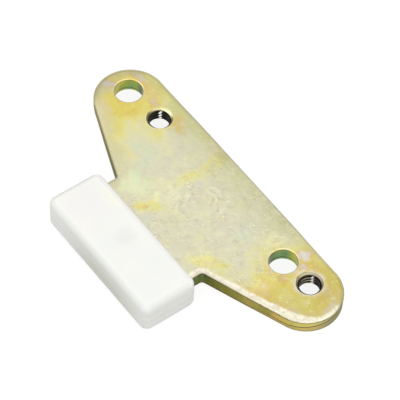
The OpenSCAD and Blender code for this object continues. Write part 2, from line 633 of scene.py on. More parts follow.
def feed(socket, value):
    """Links a value to a socket, or gives the socket a fixed number or vector."""
    if isinstance(value, Value):
        value.tree.links.new(value.socket, socket)
    else:
        socket.default_value = value


def add_node(tree, kind, inputs, **settings):
    node = tree.nodes.new(kind)
    for key, setting in settings.items():
        setattr(node, key, setting)
    for key, value in inputs.items():
        feed(node.inputs[key], value)
    return node


class Value:
    """One output of a node. Arithmetic on it adds more nodes."""

    def __init__(self, tree, socket):
        self.tree, self.socket = tree, socket

    def math(self, operation, *inputs):
        inputs = dict(enumerate(inputs))
        node = add_node(self.tree, "ShaderNodeMath", inputs, operation=operation)
        return Value(self.tree, node.outputs[0])

    def __add__(self, other):
        return self.math("ADD", self, other)

    __radd__ = __add__

    def __sub__(self, other):
        return self.math("SUBTRACT", self, other)

    def __rsub__(self, other):
        return self.math("SUBTRACT", other, self)

    def __mul__(self, other):
        return self.math("MULTIPLY", self, other)

    def __abs__(self):
        return self.math("ABSOLUTE", self)

    def either(self, other):
        """The larger of the two."""
        return self.math("MAXIMUM", self, other)

    def step(self, low, high, bottom=0.0, top=1.0):
        """Goes smoothly from bottom to top while this goes from low to high."""
        node = add_node(
            self.tree, "ShaderNodeMapRange",
            {"Value": self, "From Min": low, "From Max": high, "To Min": bottom, "To Max": top},
            interpolation_type="SMOOTHSTEP",
        )
        return Value(self.tree, node.outputs["Result"])


# %% [markdown]
# A `Finish` is a material under construction. It has places, noises and spots
# to start from, and a colour that grows as one colour after the other is laid
# over it. Places are in millimetres on the object itself, so a stain stays on
# the metal whatever the camera does. The finishes below are written with three
# kinds of number: lengths in millimetres, shares and noise levels between -1
# and 1, and colours as three screen values from 0 to 255.

# %% Finishes
RAGGED_SEED = 5.3
ANY_HEIGHT = 1000  # makes a spot the same at every height


class Finish:
    """A material under construction. Its spots have edges ragged by a noise."""

    def __init__(self, name, ragged_size, **ragged):
        self.material = bpy.data.materials.new(name)
        self.material.use_nodes = True
        self.tree = self.material.node_tree
        metres = self.add("ShaderNodeTexCoord", {}, "Object")
        self.place = self.vector("DIVIDE", metres, (MM, MM, MM))
        self.x, self.y, self.z = self.parts(self.place)
        self.ragged = self.noise(ragged_size, RAGGED_SEED, **ragged)

    def add(self, kind, inputs, output=0, **settings):
        """Adds a node and returns one of its outputs."""
        return Value(self.tree, add_node(self.tree, kind, inputs, **settings).outputs[output])

    def vector(self, operation, a, b, output="Vector"):
        return self.add("ShaderNodeVectorMath", {0: a, 1: b}, output, operation=operation)

    def parts(self, vector):
        """The three numbers of a vector."""
        node = add_node(self.tree, "ShaderNodeSeparateXYZ", {0: vector})
        return [Value(self.tree, socket) for socket in node.outputs]

    def stretch(self, x, y, z):
        return self.vector("MULTIPLY", self.place, (x, y, z))

    def attribute(self, name):
        """A number that is stored on the vertices."""
        return self.add("ShaderNodeAttribute", {}, "Fac", attribute_name=name)

    def noise(self, size, seed, detail=3.0, rough=0.5, place=None, swirl=0.0):
        """Cloudy noise round 0 with features of the given size."""
        inputs = {
            "Vector": place or self.place, "W": seed, "Scale": 1 / size,
            "Detail": detail, "Roughness": rough, "Distortion": swirl,
        }
        return self.add("ShaderNodeTexNoise", inputs, noise_dimensions="4D") - 0.5

    def cells(self, size):
        """Distance to the nearest of many scattered points, in cell sizes."""
        inputs = {"Vector": self.place, "Scale": 1 / size}
        return self.add("ShaderNodeTexVoronoi", inputs, "Distance")

    def spot(self, x, y, length, width=None, turn=0.0, ragged=2.0):
        """1 in the middle of an oval on the face, fading to 0 at its ragged edge."""
        inputs = {
            "Vector": self.place,
            "Location": (x, y, 0),
            "Rotation": (0, 0, math.radians(turn)),
            "Scale": (length, width or length, ANY_HEIGHT),
        }
        oval = self.add("ShaderNodeMapping", inputs, vector_type="TEXTURE")
        away = self.vector("DISTANCE", oval, (0, 0, 0), "Value")
        return (away + self.ragged * ragged).step(1.0, 0.1)

    def mix(self, share, a, b):
        """The colour a where the share is 0, and b where it is 1."""
        a, b = (seen(*c) if isinstance(c, tuple) else c for c in (a, b))
        return self.add("ShaderNodeMix", {0: share, 6: a, 7: b}, 2, data_type="RGBA")

    def ramp(self, value, stops):
        node = add_node(self.tree, "ShaderNodeValToRGB", {0: value})
        elements = node.color_ramp.elements
        for _ in range(len(stops) - 2):
            elements.new(0.5)
        for element, (position, colour) in zip(elements, stops):
            element.position, element.color = position, seen(*colour)
        return Value(self.tree, node.outputs["Color"])

    def lay(self, share, colour):
        """Lays a colour over what there is so far, with a share from 0 to 1."""
        self.colour = self.mix(share, self.colour, colour)

    def done(self, rough, height, **inputs):
        """Feeds the shader with the colour, the roughness and a height in mm."""
        inputs |= {
            "Base_Color": self.colour,
            "Roughness": rough,
            "Normal": self.add("ShaderNodeBump", {"Height": height, "Distance": MM}, "Normal"),
        }
        shader = self.tree.nodes["Principled BSDF"]
        for key, value in inputs.items():
            feed(shader.inputs[key.replace("_", " ")], value)
        print(f"{self.material.name}: {len(self.tree.nodes)} nodes")
        return self.material


# %% [markdown]
# ## Distances painted on the mesh
# Plating, wear and the painted highlights and shade follow the edges. So each
# vertex of the plate is given its distance from the outline, from the nearest
# hole, from the tear line on the wall and from the foot of the roll, and its
# depth in a thread. The finishes read these numbers, which keeps every band in
# step with the geometry.

# %% Store distances on the vertices
HOLES = [(*centre_and_radius(name), name in TAPPED_HOLES) for name in BOLT_HOLES + TAPPED_HOLES]
DISTANCES = ("edge_mm", "rim_mm", "tear_mm", "under_roll_mm", "thread_mm")


def paint_distances(mesh):
    tree = kdtree.KDTree(len(plate_outline))
    for index, station in enumerate(plate_outline):
        tree.insert((*station.at, 0), index)
    tree.balance()
    for name in DISTANCES:
        mesh.attributes.new(name, "FLOAT", "POINT")
    layers = [mesh.attributes[name].data for name in DISTANCES]
    for vertex in mesh.vertices:
        x, y, z = vertex.co / MM
        at = Vector((x, y))
        edge = tree.find((x, y, 0))[2]
        gap, radius, tapped = min((math.dist(at, c) - r, r, tapped) for c, r, tapped in HOLES)
        rim = gap - (COUNTERSINK_R - radius) if tapped else gap
        under_roll = plate_t - roll_depth(at) - z
        values = (edge, rim, z - tear_height(at), under_roll, gap if tapped else 0.0)
        for layer, value in zip(layers, values):
            layer[vertex.index].value = value


# %% [markdown]
# ## Yellow passivated zinc
# The yellow is not a paint. It is a chromate film a few hundred nanometres
# thick, and its colour goes with its thickness: grey and pale green where it
# is thin, then straw, warm yellow, orange, and pink or lilac where it is
# thickest. So the finish first works out one number, the thickness, from
# clouds of noise, the distance from the ends and holes, and single stains. A
# colour ramp then turns thickness into colour, and neighbouring colours
# always come in the right order, as they do on the real thing. There are two
# ramps, because the ends are more golden than the lemon middle.

# %% Thickness and colour of the film on the flat faces
STAINS = (
    # place, length, width and turn, and how much thicker the film is there
    # lilac and pink, where it is thickest
    (-41.5, -1.6, 2.9, 2.4, 60, 0.36),
    (-39.7, 5.3, 3, 2, 20, 0.30),
    (-30.2, 3.4, 3, 2.2, 0, 0.34),
    (30.4, -8, 4.2, 2.2, -15, 0.24),
    (26.9, 5.8, 3.8, 2.4, 60, 0.40),
    (29.4, -2.6, 2.8, 2, 0, 0.24),
    # orange and ochre
    (-36.8, 5.6, 2.6, 2, 20, 0.16),
    (-6.2, -16.8, 2.8, 1.5, 40, 0.17),
    (15.4, -14.6, 2.8, 1.4, 40, 0.17),
    (25.8, -3.6, 2.4, 1.6, 20, 0.22),
    (29.4, 3.6, 2.6, 1.9, 40, 0.28),
    (39.2, 3.4, 4, 4.4, 40, 0.24),
    # yellow
    (-33.4, 4.8, 4.2, 3, 20, 0.12),
    (-31, -3.6, 6.5, 4.6, 10, 0.06),
    (-22.8, -1.6, 6.4, 4.4, 10, 0.15),
    (-6.5, 0.8, 8.4, 3, 84, 0.25),
    (-7, 5.6, 2.6, 2.2, 60, 0.13),
    (-7.2, -5.4, 5, 3, 80, 0.12),
    (-5.2, -15, 5.4, 3, 50, 0.24),
    (15.6, -13.6, 6.8, 2.6, 50, 0.26),
    (19.4, -3, 6, 4, 30, 0.04),
    (27, -6.4, 3.4, 2.2, 10, 0.20),
    (31, 6, 3, 1.6, 0, 0.18),
    # pale green and blue-grey, where it is thinnest
    (-19.6, -6.6, 6.2, 4.6, 10, -0.20),
    (-15.4, -10.4, 5.6, 4.4, 10, -0.16),
    (-13.2, -12.6, 3.4, 2.6, 0, -0.20),
    (-2.9, -17.7, 3, 2, 40, -0.22),
    (13.4, -1.4, 4.2, 3.4, 30, -0.24),
)
LEMON = (
    # thickness of the film and its colour
    (0.06, (190, 200, 186)),
    (0.20, (203, 211, 172)),
    (0.34, (209, 208, 174)),
    (0.46, (216, 213, 154)),
    (0.58, (219, 214, 112)),
    (0.70, (217, 203, 96)),
    (0.80, (213, 184, 106)),
    (0.92, (206, 186, 156)),
)
GOLDEN = (
    (0.20, (200, 206, 170)),
    (0.38, (210, 204, 160)),
    (0.50, (214, 206, 138)),
    (0.60, (213, 201, 106)),
    (0.70, (210, 189, 98)),
    (0.80, (207, 178, 108)),
    (0.90, (203, 183, 156)),
    (1.00, (200, 190, 194)),
)


def near_ends(finish):
    """0 in the middle of the plate and 1 at both ends, with an uneven border."""
    wander = finish.noise(9, 1.7, 2) * 26
    return (abs(finish.x) + wander).step(14, 33)


def film_thickness(finish, ends):
    film = 0.36 + ends * 0.25
    film += finish.noise(6, 2.1, 2, swirl=0.5) * 0.32
    film += finish.noise(2.4, 3.9, 2, swirl=1.2) * ends.step(0, 1, 0.14, 0.22)
    film += finish.attribute("rim_mm").step(2.4, 0.2, 0, 0.05)
    for x, y, length, width, turn, more in STAINS:
        film += finish.spot(x, y, length, width, turn, ragged=1.5) * more
    return film


print(f"{len(STAINS)} stains, and {len(LEMON)} and {len(GOLDEN)} colours of the film")

# %% [markdown]
# On top of the film come the marks of the barrel in which such plates are
# plated by the hundred: a greyish veil, tiny bright specks, and curly scratches
# where plates knocked against each other, each with a painted highlight on one
# side and painted shade on the other, as if light fell across it. Curly lines
# need no drawing: they are the places where a smooth noise crosses its middle
# level. The same noise, read a little to one side, gives the line's painted
# bright flank. Faint rings in the middle come from a plate that turned there.

# %% Marks of the barrel
SCUFF_CENTRE = (0.9, -5.4, 0)
LIT_FLANK_OFFSET = (0.14, -0.20, 0)


def scuffs(finish):
    """Faint rings, broken up by noise, that fade out away from their centre."""
    away = finish.vector("DISTANCE", finish.stretch(1, 1, 0), SCUFF_CENTRE, "Value")
    wavy = away * 3.6 + finish.noise(3, 8.8, 2) * 13
    broken = finish.noise(2, 9.4).step(-0.02, 0.10)
    reach = away.step(0.8, 2.2) * away.step(9, 4.5)
    return wavy.math("SINE", wavy) * broken * reach


def scratches(finish, size, seed, width):
    """Curly lines with a painted highlight on one flank (up to 1) and painted shade on the other
    (to -1).
    """
    beside = finish.vector("ADD", finish.place, LIT_FLANK_OFFSET)
    bright, dark = (
        abs(finish.noise(size, seed, 2, place=place)).step(width, 0)
        for place in (beside, finish.place)
    )
    return bright - dark


# %% [markdown]
# The rolled edge took most knocks and is partly burnished. Its pale cream band
# is a painted highlight, strongest along the right front and round the right
# end, with pinkish patches where the film gathers again, dark chips along its
# outer side and a line of painted shade there, where the roll turns away. At
# the left end it is only a pinkish beige, and along the back edge a dull
# greenish veil runs instead.

# %% The finish of the rolled edge
def rub_and_highlight_share(finish):
    """How much the rolled edge is burnished and carries its painted highlight: most along the
    right front and end.
    """
    side = finish.x.step(-20, 14, 0.30, 1)
    back = finish.y.step(2, 6, 1, 0.15)
    left_end = finish.x.step(-40, -33, 0.3, 1)
    upper = finish.z.step(1, 3, 0.3, 1)
    return side * back * (left_end * upper)


def paint_rolled_edge(finish):
    """Lays on the burnished band with its painted highlight, its pinkish patches, its chips and
    the painted shade along its outer side.
    """
    x, y = finish.x, finish.y
    edge = finish.attribute("edge_mm")
    rubbed = rub_and_highlight_share(finish)
    turned = y.step(-6, -1.5)
    band = edge + finish.noise(1.3, 4.4, 4) * 1.1 + (1 - rubbed) * 0.75
    band += x.step(30, 38) * (turned - 0.55)

    patchy = finish.noise(2.2, 9.9, 2).step(-0.04, 0.10, 0.1, 0.65)
    pink = band.step(1.1, 1.7) * band.step(3.4, 1.8) * patchy * x.step(22, 29)
    pink_to_lilac = finish.mix(x.step(35, 40), (206, 172, 128), (196, 186, 176))
    finish.lay(pink * rubbed, pink_to_lilac)

    # The pale cream below is a painted highlight on the roll, laid where it is burnished.
    outside = finish.mix(turned, (222, 218, 200), (232, 228, 204))
    pale = finish.noise(1.8, 21.3, 2).step(-0.08, 0.08)
    inside = finish.mix(pale, (238, 233, 210), (243, 235, 222))
    cream = finish.mix(edge.step(0.95, 0.40), inside, outside)
    worn = finish.noise(1, 6.6, 3, 0.6).step(0.06, -0.14, 0, 0.6)
    cream = finish.mix(worn, cream, (204, 190, 162))
    speckle = finish.noise(0.5, 19.7).step(0.07, 0.24, 0, 0.5)
    cream = finish.mix(speckle, cream, (186, 178, 158))
    at_left = finish.mix(y.step(-7, -12), (214, 200, 180), (206, 200, 172))
    cream = finish.mix(x.step(0, -14), cream, at_left)
    burnish_and_highlight = band.step(1.75, 1.05) * rubbed.step(0.05, 0.9, 0.25, 0.95)
    finish.lay(burnish_and_highlight, cream)

    # Painted shade: the outer side of the roll, where it turns away from the light, is darkened.
    outer = edge.step(0.5, 0) * rubbed.step(0.9, 0.4)
    finish.lay(outer * 0.45, (150, 146, 100))
    finish.lay(edge.step(0.30, 0.08) * (rubbed * 0.65), (150, 146, 122))
    chipped = finish.noise(1.4, 2.6).step(-0.10, 0.10)
    chips = finish.cells(0.6).step(0.34, 0.14) * edge.step(0.34, 0.02)
    finish.lay(chips * chipped * 0.9, (96, 76, 54))
    return burnish_and_highlight


# %% [markdown]
# The mouths of the holes catch the eye, though they are small. A painted
# highlight runs round each one on its small roll, broken up by noise. Round
# the right tapped hole the film is a pale grey halo. The countersinks are
# painted dark as shade, apart from painted highlights on the sides that throw
# a lamp back, with painted shade beside the left one's highlight and a dark
# line just outside the right one. All of it hangs on one painted distance, the
# one from the rim.

# %% The finish of the holes' mouths
def paint_mouths(finish):
    """Lays on the painted highlights round the rims of the holes, the halo, and the painted
    shade and highlights inside the tapped mouths.
    """
    rim = finish.attribute("rim_mm")
    # A painted highlight on the roll of every hole's rim.
    lit = finish.noise(1.6, 14.4).step(-0.10, 0.08, 0.35, 1)
    finish.lay(rim.step(0.35, 0.1, 0, 0.75) * lit, (240, 232, 184))
    halo = rim.step(1.5, 0.3) * finish.spot(33.4, 1.9, 7, ragged=0.6)
    patchy = finish.noise(1.7, 17.2).step(-0.12, 0.10, 0.3, 0.9)
    finish.lay(halo * patchy, (220, 212, 206))
    finish.lay(rim.step(0.14, 0.02) * finish.x.step(28, 30, 0.35, 0.6), (84, 76, 52))
    # A painted highlight on the far side of the right tapped hole's countersink.
    cone = rim.step(-0.06, -0.14) * finish.spot(31, 1.6, 3.4, ragged=0.4)
    finish.lay(cone * 0.8, (168, 160, 122))
    # Painted shade deeper in both countersinks.
    finish.lay(rim.step(-0.30, -0.46), (52, 44, 32))
    glint = rim.step(0.30, 0.10) * rim.step(-0.50, -0.36)
    lamp = finish.spot(-25.6, 4.6, 3.4, 2.4, 40, ragged=0.4)
    finish.lay(glint * lamp, (238, 231, 190))
    # Painted shade on both sides of the left mouth's highlight.
    mouth_shade_left = rim.step(-0.02, -0.16) * finish.spot(-27.6, 0.6, 4, 2.6, 40, ragged=0.4)
    mouth_shade_right = rim.step(0.32, 0.08) * finish.spot(-22.8, 3.4, 3.2, ragged=0.4)
    finish.lay(mouth_shade_left.either(mouth_shade_right) * 0.75, (96, 92, 60))


# %% [markdown]
# The face is built up from the film outwards: the film's own colour, clouds
# and veils that dull it, single pale or greenish veils in their own places,
# a fine mottle, the marks of the barrel, and last the edge and the mouths with
# their painted highlights and shade.

# %% The finish of the flat faces
VEILS = (
    # place, length and width, and how much of what colour lies over the film
    (-22.2, 4, 5, 3.2, 0.75, (204, 180, 106)),
    (-32.7, 4.2, 4.4, 4, 0.50, (206, 197, 150)),
    (-40.6, -2.6, 3.6, 4.6, 0.55, (188, 184, 158)),
    (-13.2, -14.6, 6.8, 5, 0.55, (222, 230, 182)),
    (-6.2, -9.4, 6, 4.6, 0.45, (232, 230, 186)),
    (-11.2, 7.4, 3.6, 2.2, 0.50, (202, 190, 160)),
    (-7.4, 5.4, 2.4, 1.8, 0.55, (208, 199, 112)),
    (-6.6, 7.8, 3.4, 1.8, 0.50, (182, 176, 122)),
    (10.2, 8.4, 3.6, 1.8, 0.45, (180, 180, 150)),
    (16.8, 8.2, 4.2, 2, 0.55, (174, 171, 124)),
    (14.4, -14.2, 4.6, 3.4, 0.60, (233, 226, 146)),
    (19.4, 2.8, 4.4, 3.4, 0.45, (232, 226, 174)),
    (26.9, 5.6, 2.6, 2.2, 0.60, (226, 222, 210)),
    (28.6, -7.4, 4.6, 3.6, 0.50, (233, 221, 148)),
    (35.8, -3.8, 5.6, 3.8, 0.60, (226, 221, 158)),
)
VEIL_TURN = 20


def lay_veils(finish, ends):
    """Dulls the film. Returns the clouding, which also makes the face rougher."""
    x, y = finish.x, finish.y
    middle = 1 - ends
    clouding = finish.noise(4.2, 6.1, 3, 0.55, swirl=1).step(-0.12, 0.14) * middle
    finish.lay(middle * 0.26, (212, 205, 192))
    finish.lay(clouding * 0.46, (208, 202, 187))
    finish.lay(y.step(-3, 8) * middle * 0.62, (190, 190, 151))
    edge = finish.attribute("edge_mm") + finish.noise(3, 11.3) * 6
    front = finish.mix(y.step(-5, -11), (206, 194, 168), (201, 197, 164))
    beige = finish.mix(y.step(2, 6), front, (190, 188, 130))
    beige = finish.mix(x.step(-37, -41), beige, (174, 168, 130))
    finish.lay(edge.step(4.2, 1) * x.step(12, -20, 0.25, 0.70), beige)
    for at_x, at_y, length, width, share, colour in VEILS:
        finish.lay(finish.spot(at_x, at_y, length, width, VEIL_TURN) * share, colour)
    finish.lay(x.step(26, 37, 0, 0.65), (190, 176, 90))
    return clouding


def make_face_finish():
    finish = Finish("passivated_face", 2.6, detail=2, swirl=0.8)
    ends = near_ends(finish)
    film = film_thickness(finish, ends)
    finish.colour = finish.mix(ends, finish.ramp(film, LEMON), finish.ramp(film, GOLDEN))
    clouding = lay_veils(finish, ends)

    calm = finish.x.step(-26, -2, 0.5, 1)
    mottle = finish.noise(1.5, 15.2, 3, 0.55, swirl=0.6) * calm
    finish.lay(mottle.step(0, 0.24, 0, 0.36), (230, 225, 190))
    finish.lay(mottle.step(0, -0.24, 0, 0.36), (180, 173, 136))

    busy = finish.noise(4, 7.7, 2).step(-0.10, 0.10, 0.15, 1)
    curls = scratches(finish, 1.9, 18.1, 0.040) + scratches(finish, 2.9, 23.5, 0.024)
    marks = scuffs(finish) * 0.8 + curls * busy * (calm * 0.8)
    marks *= finish.z.step(1, 3, 0.3, 1)
    # The curls' light and dark sides are painted highlight and painted shade; the rings are
    # lighter and darker film.
    finish.lay(marks.step(0.1, 1, 0, 0.40), (236, 232, 214))
    finish.lay(marks.step(-0.1, -1, 0, 0.40), (164, 158, 134))
    specks = finish.cells(2.3).step(0.13, 0.05) * busy * calm
    finish.lay(specks * 0.6, (246, 242, 190))

    burnish_and_highlight = paint_rolled_edge(finish)
    paint_mouths(finish)
    fine = finish.noise(0.6, 12.5, 2)
    rough = 0.36 + clouding * 0.08 + fine * 0.10 + burnish_and_highlight * -0.06 + specks * -0.10
    height = fine * 0.0012 + finish.noise(2.6, 13.1, 2) * 0.014 + marks * 0.006
    return finish.done(rough, height, Metallic=1)


face_finish = make_face_finish()

# %% [markdown]
# ## The sheared wall
# The wall goes through the same bath, but its film is thicker and darker. It
# turns from olive green by the tongue to ochre and orange, and to a greenish
# yellow round the ends. The punch drew fine upright lines down the burnished
# band. The seam under the roll, the tear line and the foot of the wall are
# darkened with painted shade. Polished metal turns white at a glancing angle,
# but this dull wall doesn't, so its specular tint is dark.

# %% The finish of the wall
WALL_GLANCE = (0.50, 0.48, 0.40, 1)
WALL_COLOURS = (
    # share of the way from the tongue to the ends, and the colour there
    (0.02, (96, 118, 78)),
    (0.12, (102, 106, 56)),
    (0.28, (136, 130, 66)),
    (0.44, (154, 147, 82)),
    (0.58, (182, 156, 94)),
    (0.70, (200, 162, 96)),
    (0.84, (198, 188, 102)),
)


def drawn_lines(finish, seed):
    """Noise in the fine upright lines that a punch draws down a wall."""
    return finish.noise(0.5, seed, rough=0.6, place=finish.stretch(1, 1, 0.12))


def make_wall_finish():
    finish = Finish("passivated_edge", 2)
    x, y = finish.x, finish.y
    along = abs(x) + finish.noise(5, 1.3) * 7
    finish.colour = finish.ramp(along.step(12, 48), WALL_COLOURS)
    finish.lay(finish.spot(32.2, -10.2, 5, ragged=1) * 0.8, (138, 142, 72))
    upright = drawn_lines(finish, 2.2)
    finish.lay(upright.step(0.04, 0.26, 0, 0.35), (206, 192, 120))
    finish.lay(upright.step(-0.04, -0.24, 0, 0.35), (84, 74, 38))

    tear = finish.attribute("tear_mm")
    torn = tear.step(0, -0.15)
    grain = finish.noise(0.45, 4.6, 5, 0.65)
    torn_colour = finish.mix(grain.step(-0.15, 0.15), (162, 134, 90), (196, 176, 116))
    finish.lay(torn * 0.7, torn_colour)
    finish.lay(along.step(38, 43, 0, 0.4), (224, 208, 128))
    right_end = y.step(-5.5, 1) * x.step(34, 38)
    finish.lay(right_end * 0.8, finish.mix(torn, (176, 176, 140), (146, 148, 120)))
    finish.lay(x.step(-4, -20, 0, 0.6), (132, 132, 96))

    # Painted shade in the seam groove along the tear line.
    seam = abs(tear).step(0.26, 0.06) * along.step(33, 41, 0.45, 0.92)
    finish.lay(seam * x.step(-20, -4, 0.4, 1), (60, 50, 28))
    # Painted shade under the roll.
    under_roll = finish.attribute("under_roll_mm").step(0.45, 0.10)
    patchy = finish.noise(1.1, 7.9, 2).step(-0.12, 0.08, 0.5, 0.9)
    finish.lay(under_roll * patchy, (72, 62, 38))
    # Painted shade along the foot of the wall.
    foot = finish.z.step(0.55, 0.10) * along.step(42, 30, 0.65, 0.9)
    finish.lay(foot, (72, 66, 40))
    rough = 0.38 + torn * 0.16 + upright * 0.2
    height = upright * 0.03 + grain * torn * 0.10
    return finish.done(rough, height, Metallic=1, Specular_Tint=WALL_GLANCE)


wall_finish = make_wall_finish()

# %% [markdown]
# ## Inside the holes
# The film gathers in the punched holes and turns a clear green, with olive
# patches. The threads are dark steel and lie in shade deep in the hole, so they
# are painted near black, and their crests are painted lighter as a highlight,
# most on the far wall of the right one.

# %% The finishes of the bores and the threads
THICK_IN_BORES = (
    # place and size, and how much thicker the film is there
    (-40, -0.6, 4.4, 0.55),
    (-38.4, 4, 2.4, 0.20),
    (25.2, 4.4, 2.4, 0.45),
)
BORE_COLOURS = (
    # thickness of the film and its colour
    (0.10, (92, 124, 88)),
    (0.34, (124, 158, 96)),
    (0.54, (152, 164, 66)),
    (0.74, (178, 178, 64)),
    (1.00, (200, 180, 84)),
)
DARK_IN_BORES = ((21.8, -0.4, 2.3), (-36.5, 4.3, 1.5))
THREAD_GLINTS = (
    # place, length and width of what throws a lamp back, and how much
    (-27.6, 3.7, 0.34, 1.1, 0.9),
    (32.4, 3.9, 0.34, 1, 0.6),
)
CREST_LIT = (31.8, 2.8, 2.6)


def make_bore_finish():
    finish = Finish("passivated_bore", 1.6)
    film = 0.32 + finish.noise(3, 3.3, 2) * 0.4 + finish.noise(1.2, 5.9) * 0.35
    film += finish.z.step(1.6, 3.9, -0.10, 0.12)
    for x, y, size, more in THICK_IN_BORES:
        film += finish.spot(x, y, size, ragged=1) * more
    finish.colour = finish.ramp(film, BORE_COLOURS)
    for x, y, size in DARK_IN_BORES:
        finish.lay(finish.spot(x, y, size, ragged=1) * 0.7, (84, 78, 44))
    upright = drawn_lines(finish, 2.8)
    finish.lay(upright.step(-0.02, -0.2, 0, 0.5), (52, 60, 34))
    finish.lay(finish.z.step(plate_t - 0.55, plate_t - 0.25) * 0.8, (164, 104, 46))
    # Painted shade in the seam groove at the bore's tear line.
    finish.lay(abs(finish.z - HOLE_TEAR).step(0.2, 0.05) * 0.7, (52, 44, 26))
    return finish.done(0.36 + upright * 0.2, upright * 0.03, Metallic=1)


def make_thread_finish():
    finish = Finish("cut_thread", 0.5)
    worn = finish.noise(0.8, 6.2, 4)
    # Painted shade in the grooves and a painted highlight on the crests, brightest at CREST_LIT.
    crest = (finish.attribute("thread_mm") + worn * 0.12).step(0.13, 0.03)
    lit = finish.mix(finish.spot(*CREST_LIT, ragged=0.6), (44, 41, 34), (132, 124, 104))
    finish.colour = finish.mix(crest, (20, 18, 16), lit)
    for x, y, length, width, share in THREAD_GLINTS:
        finish.lay(finish.spot(x, y, length, width, ragged=0.15) * share, (236, 236, 232))
    return finish.done(0.22 + worn * 0.2, finish.noise(0.2, 3.1) * 0.01, Metallic=1)


bore_finish = make_bore_finish()
thread_finish = make_thread_finish()

# %% [markdown]
# ## Moulded nylon
# Natural nylon is a milky white that lets a little light in, so its shadows
# stay soft. The middle of the front wall, where the steel tongue ends close
# behind it and keeps light from passing through, is painted with shade that
# deepens towards the foot, and it stays milkier towards both ends. What lies
# behind the nylon shows through as a soft grey spot over the plug in the
# tongue's hole. The rounded edges are painted by the way they face: a touch
# darker where they turn to the front, whiter where they turn to the back, and
# the lowest part of the walls is painted with a little shade.

# %% The finish of the block
NYLON_SPOTS = (
    # place, length, width and raggedness, and how much of what colour lies there
    (-13, -28, 12, 8, 1, 0.6, (244, 240, 238)),
    (-0.4, -26, 3.8, 3.8, 0.8, 0.55, (228, 231, 228)),
    (-11, -21.6, 7, 3.4, 0.8, 0.5, (252, 250, 228)),
)
LIGHT_INSIDE = {
    "Subsurface_Weight": 0.12,
    "Subsurface_Scale": 0.8 * MM,
    "Subsurface_Radius": (1, 0.95, 0.85),
}


def front_wall_shade(finish):
    """Painted shade on the middle of the front wall, where the tongue's end is near, deeper
    towards its foot.
    """
    middle = abs(finish.x - 3.5).step(19, 2)
    front = finish.y.step(block_low.y + 1.6, block_low.y + 0.3)
    low = finish.z.step(block_high.z - 0.8, block_low.z + 1.2, 0.45, 1.15)
    return middle * front * low


def make_nylon_finish():
    finish = Finish("moulded_nylon", 2)
    cloud = finish.noise(5, 2.5).step(-0.2, 0.2)
    finish.colour = finish.mix(cloud, (241, 243, 239), (246, 245, 239))
    for x, y, length, width, ragged, share, colour in NYLON_SPOTS:
        finish.lay(finish.spot(x, y, length, width, ragged=ragged) * share, colour)
    # Painted shade on the front wall.
    finish.lay(front_wall_shade(finish), (211, 213, 201))

    # Painted shade and painted highlight on the rounded edges, by the way they face.
    _, facing_y, facing_z = finish.parts(finish.add("ShaderNodeTexCoord", {}, "Normal"))
    rounding_light_and_shade = facing_z.step(1, 0.9) * facing_z.step(0.05, 0.5)
    finish.lay(rounding_light_and_shade * facing_y.step(0.25, 0) * 0.6, (226, 228, 223))
    finish.lay(rounding_light_and_shade * facing_y.step(0.1, 0.4), (255, 252, 250))
    # Painted shade near the foot of the block.
    foot = finish.z.step(block_low.z + 2.6, block_low.z + 0.4)
    finish.lay(foot * 0.25, (214, 218, 212))
    rubbed = finish.noise(1.4, 7.1, 5, 0.65, place=finish.stretch(0.25, 1, 1))
    finish.lay(rubbed.step(0.12, 0.3, 0, 0.25), (226, 226, 220))
    height = finish.noise(0.3, 4.1) * 0.006 + finish.noise(2.5, 4.7, 2) * 0.02
    return finish.done(0.40 + rubbed * 0.25, height + rubbed * 0.006, **LIGHT_INSIDE)


nylon_finish = make_nylon_finish()

# %% [markdown]
# ## The plate as a piece
# The plate has four finishes on one mesh: its faces, its wall, the plain bores
# and the threads. A quad belongs to the finish that its part of the mesh was
# built with.

# %% Make the plate
plate_finishes = [face_finish, wall_finish, bore_finish, thread_finish]
plate = make_piece(
    build_plate(), "passivated_plate", "mounting_plate", plate_finishes
)
paint_distances(plate.data)
print("painted on the plate:", ", ".join(DISTANCES))

# %% [markdown]
# ## The nylon block
# The block is moulded straight onto the tongue. Every outer edge is round, so
# that it can't catch in the sill groove. The same two functions make it: its
# outline is a rectangle with round corners, and its section goes over a round
# edge, down the wall and under the other edge.

# %% The block's outline and section
BLOCK_EDGE_R = 1.8
BLOCK_CORNER_R = 2.2
EDGE_TURNS = 12
WALL_ROWS = 8
PARTING_H, PARTING_W = 0.03, 0.12

block_mid = (block_low + block_high) / 2
block_half = (block_high - block_low) / 2


def block_outline():
    reach_x = block_half.x - BLOCK_CORNER_R
    reach_y = block_half.y - BLOCK_CORNER_R
    stations = []
    for quarter, (side_x, side_y) in enumerate(((1, -1), (1, 1), (-1, 1), (-1, -1))):
        centre = (block_mid.x + side_x * reach_x, block_mid.y + side_y * reach_y)
        start = 90 * quarter - 90
        corner = arc_stations(centre, BLOCK_CORNER_R, start, start + 90, ARC_STEP)
        if stations:
            stations += edge_stations(stations[-1].at, corner[0].at, EDGE_STEP)
        stations += corner
    return stations + edge_stations(stations[-1].at, stations[0].at, EDGE_STEP)


def block_section():
    """Insets and heights from the upper face to the lower one."""
    top, bottom = block_high.z, block_low.z
    upper = [Profile(BLOCK_EDGE_R + SUPPORT, top)]
    for k in range(EDGE_TURNS + 1):
        turn = math.pi / 2 * k / EDGE_TURNS
        inset = BLOCK_EDGE_R * (1 - math.sin(turn))
        upper.append(Profile(inset, top - BLOCK_EDGE_R * (1 - math.cos(turn))))
    lower = [Profile(p.inset, top + bottom - p.height) for p in reversed(upper)]
    first, last = upper[-1].height, lower[0].height
    rows = [first + (last - first) * k / WALL_ROWS for k in range(1, WALL_ROWS)]
    rows += [block_mid.z + PARTING_W * side for side in (1, 0.5, -0.5, -1)]
    wall = [Profile(0.0, height) for height in sorted(set(rows), reverse=True)]
    return upper + wall + lower


print(f"block: {len(block_outline())} stations, {len(block_section())} points in the section")

